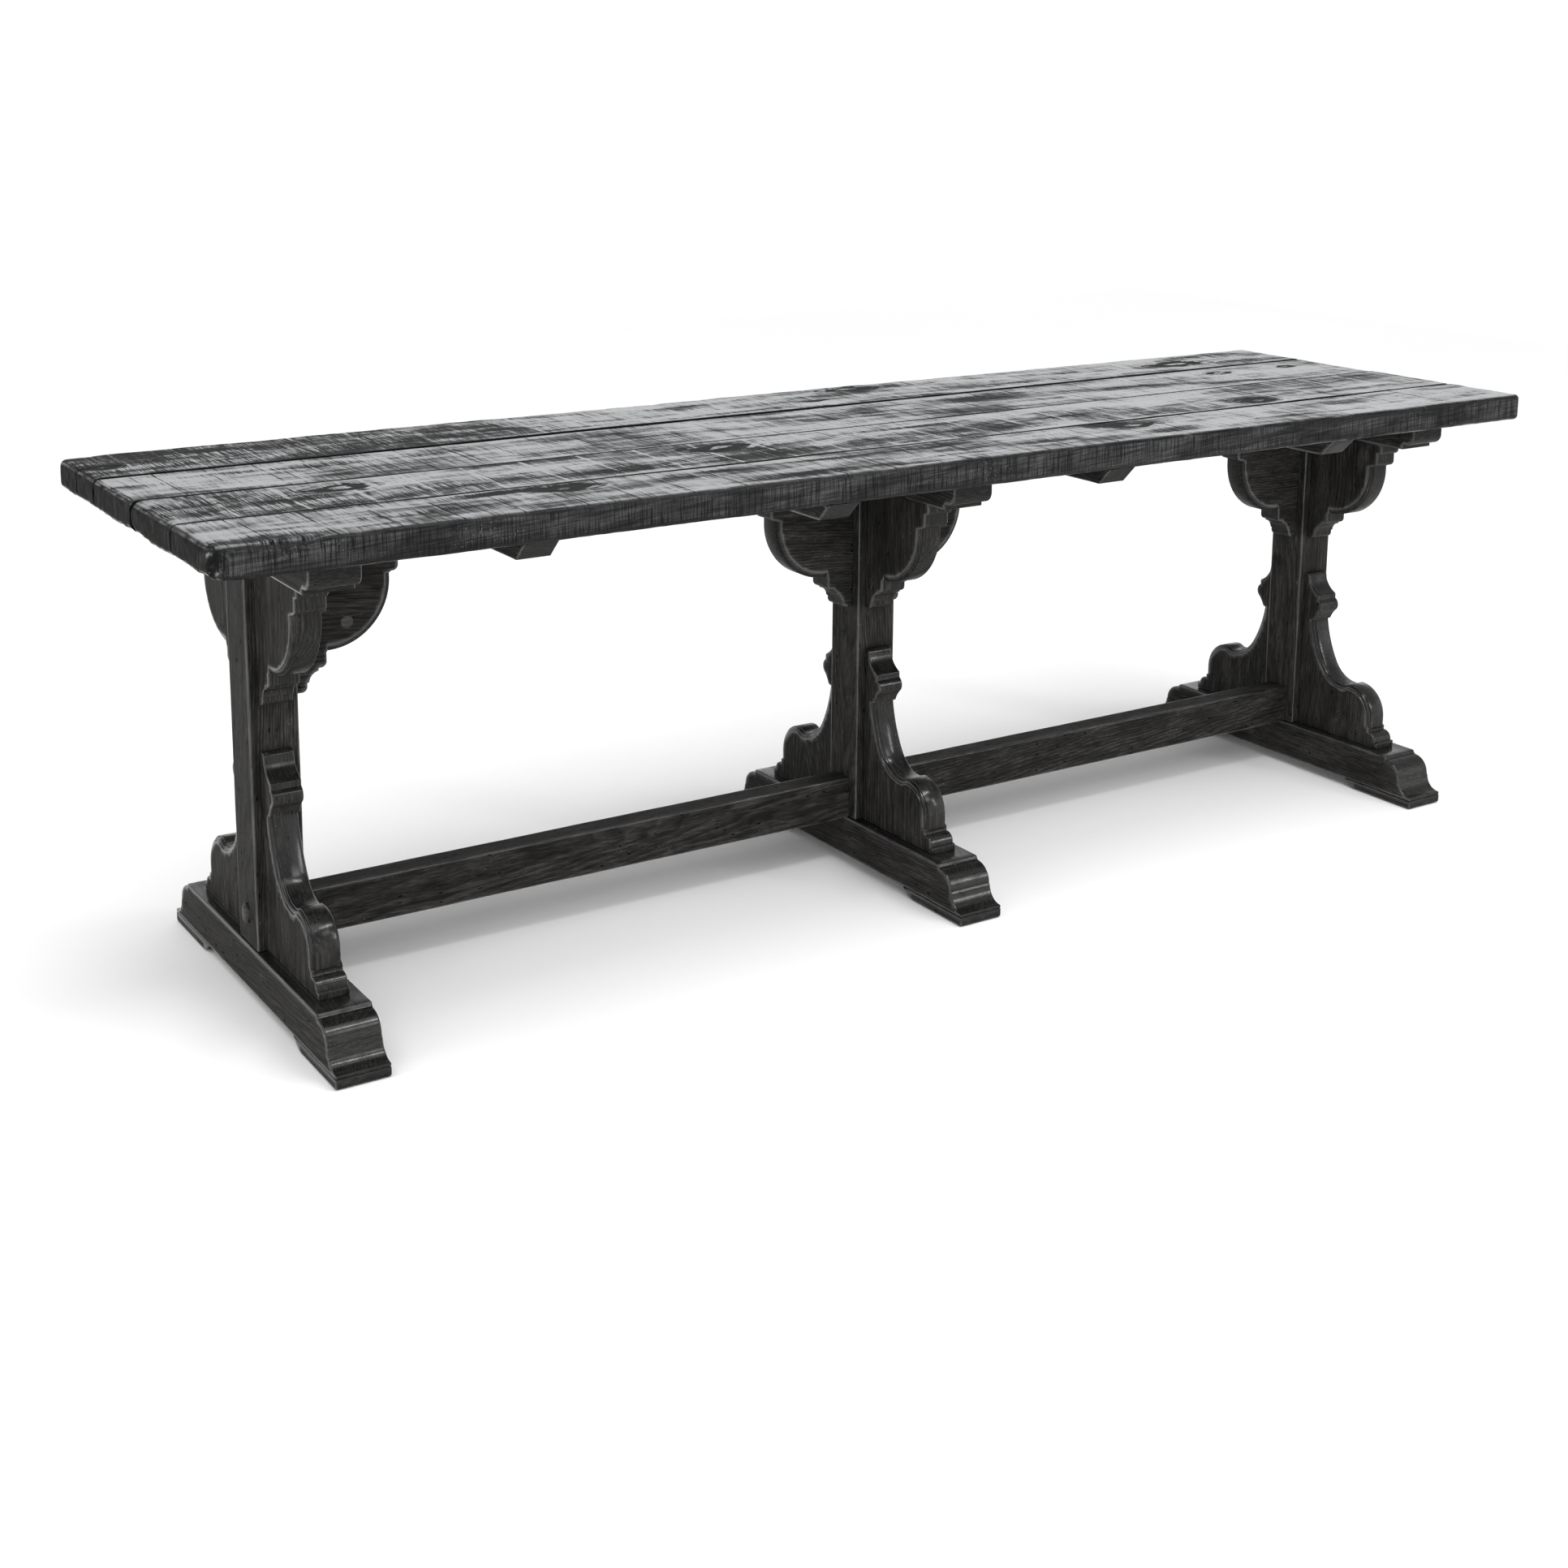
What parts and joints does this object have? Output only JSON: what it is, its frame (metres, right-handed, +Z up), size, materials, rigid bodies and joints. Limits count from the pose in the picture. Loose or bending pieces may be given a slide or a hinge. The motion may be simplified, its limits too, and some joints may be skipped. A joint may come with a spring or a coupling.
{
  "type": "communion table",
  "caption": "Long plank-topped trestle table in black-stained wood, on post trestles with scroll brackets, moulded feet, cross rails and low stretchers",
  "frame": {"origin": "on the floor under the middle of the top", "axes": "X along the table, Y across it to the back, Z up; the front is -Y"},
  "size_m": [2.5, 0.735, 0.78],
  "materials": {
    "top_wood": "satin black stain over sawn planks, worn grey",
    "frame_wood": "satin black stain",
    "moulded_wood": "satin black stain, polished edges",
    "peg_wood": "satin black stain on end grain",
    "dowel_wood": "bare beech",
    "screw_steel": "dull steel"
  },
  "bodies": {
    "root": {"front_edge_plank": "top_wood", "front_plank": "top_wood", "back_plank": "top_wood", "back_edge_plank": "top_wood", "outer_left_cleat": "frame_wood", "inner_left_cleat": "frame_wood", "inner_right_cleat": "frame_wood", "outer_right_cleat": "frame_wood", "left_stretcher": "frame_wood", "right_stretcher": "frame_wood", "left_post": "frame_wood", "left_rail": "frame_wood", "left_foot": "frame_wood", "left_front_pad": "frame_wood", "left_front_foot_bracket": "moulded_wood", "left_front_rail_bracket": "moulded_wood", "left_back_pad": "frame_wood", "left_back_foot_bracket": "moulded_wood", "left_back_rail_bracket": "moulded_wood", "middle_post": "frame_wood", "middle_rail": "frame_wood", "middle_foot": "frame_wood", "middle_front_pad": "frame_wood", "middle_front_foot_bracket": "moulded_wood", "middle_front_rail_bracket": "moulded_wood", "middle_back_pad": "frame_wood", "middle_back_foot_bracket": "moulded_wood", "middle_back_rail_bracket": "moulded_wood", "right_post": "frame_wood", "right_rail": "frame_wood", "right_foot": "frame_wood", "right_front_pad": "frame_wood", "right_front_foot_bracket": "moulded_wood", "right_front_rail_bracket": "moulded_wood", "right_back_pad": "frame_wood", "right_back_foot_bracket": "moulded_wood", "right_back_rail_bracket": "moulded_wood", "left_right_top_bracket": "moulded_wood", "middle_left_top_bracket": "moulded_wood", "middle_right_top_bracket": "moulded_wood", "right_left_top_bracket": "moulded_wood", "cleat_screws": "screw_steel", "rail_screws": "screw_steel", "pad_nails": "screw_steel", "stretcher_pegs": "peg_wood", "foot_bracket_dowels": "dowel_wood", "upper_bracket_dowels": "dowel_wood", "bracket_plug": "peg_wood"}
  },
  "joints": []
}
